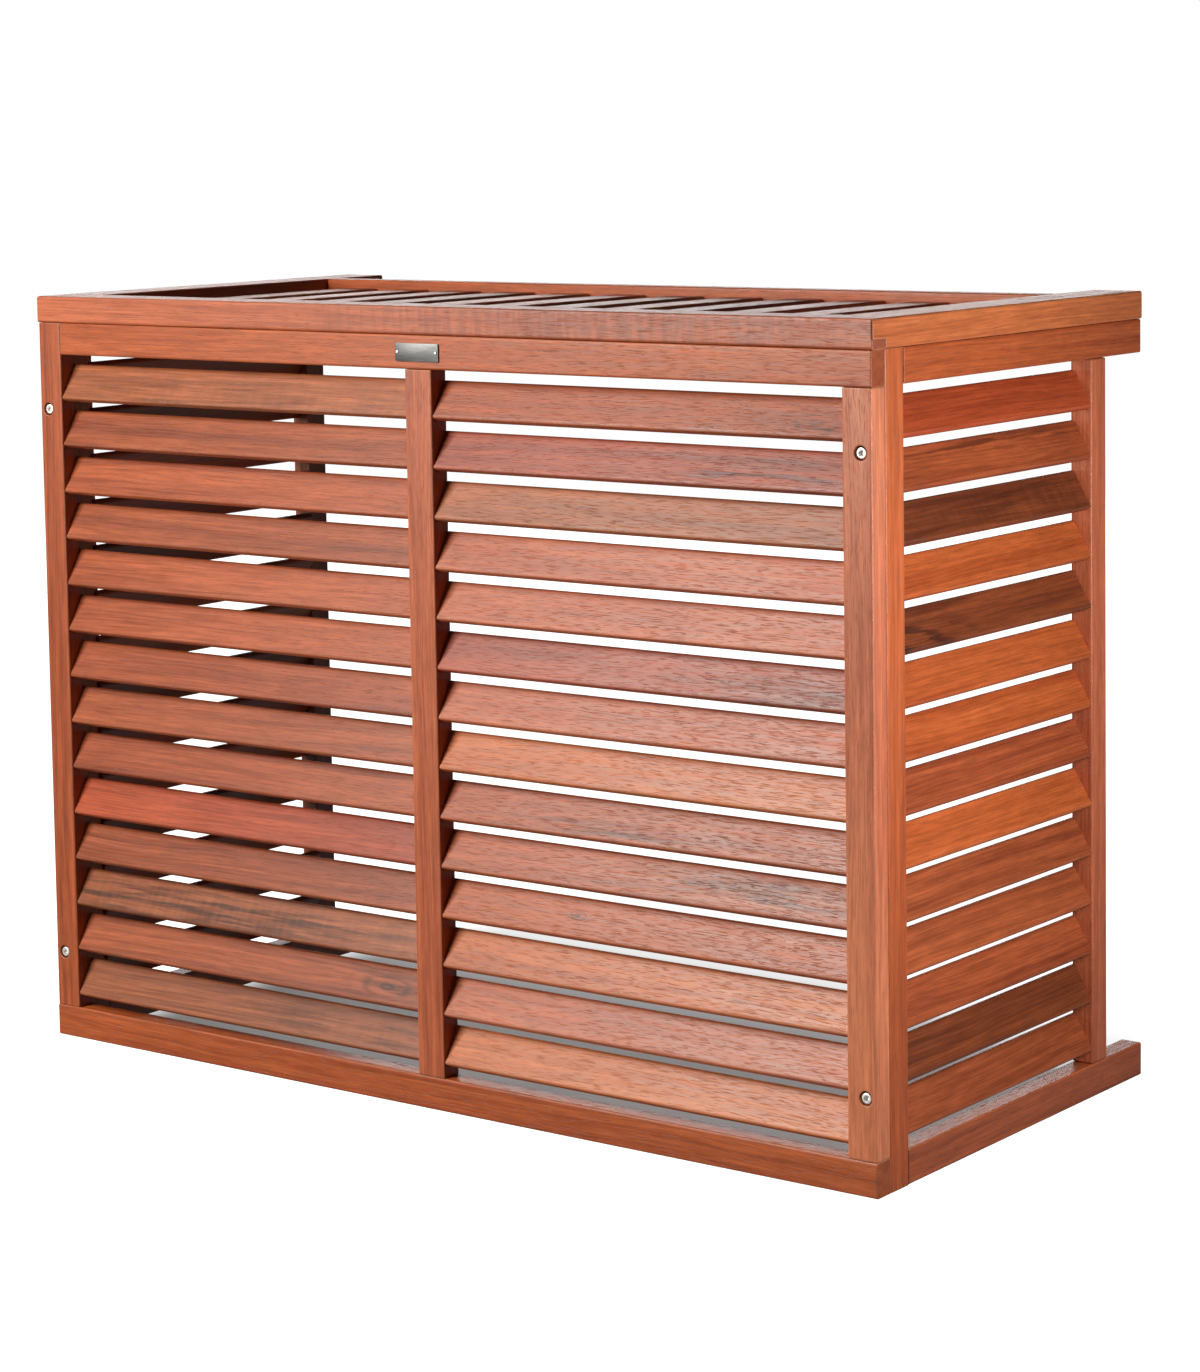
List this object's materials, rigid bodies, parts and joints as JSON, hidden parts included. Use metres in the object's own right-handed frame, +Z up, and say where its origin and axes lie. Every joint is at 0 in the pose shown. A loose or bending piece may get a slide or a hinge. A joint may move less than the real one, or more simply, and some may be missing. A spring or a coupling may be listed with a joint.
{
  "type": "air conditioner screen",
  "caption": "Slatted hardwood cover for an outdoor air conditioner: louvred front and side panels under a flat slatted lid that lifts off, open at the back and the bottom.",
  "frame": {"origin": "on the ground, in the middle of the outline's width and depth", "axes": "+X along the screen's width, +Y from the front panel to the wall, +Z up"},
  "size_m": [1.003, 0.4824, 0.7655],
  "materials": {
    "board_orange": "oiled hardwood, satin",
    "board_brown": "oiled hardwood, satin",
    "board_light": "oiled hardwood, satin",
    "board_dark": "oiled hardwood, satin",
    "board_red": "oiled hardwood, satin",
    "dowel": "plain beech, unoiled",
    "bolt_steel": "bright zinc-plated steel",
    "insert_brass": "turned brass",
    "plate_steel": "brushed, bare",
    "pin_steel": "bright"
  },
  "bodies": {
    "screen": {"front_rail_bottom": "board_orange", "front_rail_top": "board_light", "front_stile_left": "board_brown", "front_stile_right": "board_orange", "front_mullion": "board_brown", "louvre_left_01": "board_orange", "louvre_left_02": "board_dark", "louvre_left_03": "board_brown", "louvre_left_04": "board_red", "louvre_left_05": "board_light", "louvre_left_06": "board_orange", "louvre_left_07": "board_dark", "louvre_left_08": "board_brown", "louvre_left_09": "board_red", "louvre_left_10": "board_light", "louvre_left_11": "board_orange", "louvre_left_12": "board_dark", "louvre_left_13": "board_brown", "louvre_left_14": "board_red", "louvre_right_01": "board_brown", "louvre_right_02": "board_red", "louvre_right_03": "board_light", "louvre_right_04": "board_orange", "louvre_right_05": "board_dark", "louvre_right_06": "board_brown", "louvre_right_07": "board_red", "louvre_right_08": "board_light", "louvre_right_09": "board_orange", "louvre_right_10": "board_dark", "louvre_right_11": "board_brown", "louvre_right_12": "board_red", "louvre_right_13": "board_light", "louvre_right_14": "board_orange", "side_left_stile_front": "board_light", "side_left_rail_top": "board_red", "side_left_rail_bottom": "board_orange", "side_left_louvres_and_rear_stile": "board_dark", "side_right_stile_front": "board_light", "side_right_rail_top": "board_red", "side_right_rail_bottom": "board_orange", "side_right_louvres_and_rear_stile": "board_dark", "dowel_left_front": "dowel", "dowel_left_rear": "dowel", "dowel_right_front": "dowel", "dowel_right_rear": "dowel", "bolt_left_lower": "bolt_steel", "bolt_left_upper": "bolt_steel", "bolt_right_lower": "bolt_steel", "bolt_right_upper": "bolt_steel", "insert_left_lower": "insert_brass", "insert_left_upper": "insert_brass", "insert_right_lower": "insert_brass", "insert_right_upper": "insert_brass", "name_plate": "plate_steel", "plate_pin_left": "pin_steel", "plate_pin_right": "pin_steel"},
    "lid": {"lid_rail_front": "board_red", "lid_rail_left": "board_orange", "lid_rail_right": "board_orange", "lid_slats_and_rear_rail": "board_dark"}
  },
  "joints": [
    {"name": "lid_lift", "type": "slide", "parent": "screen", "child": "lid", "axis": [0, 0, 1], "range_m": [0, 0.15]}
  ]
}
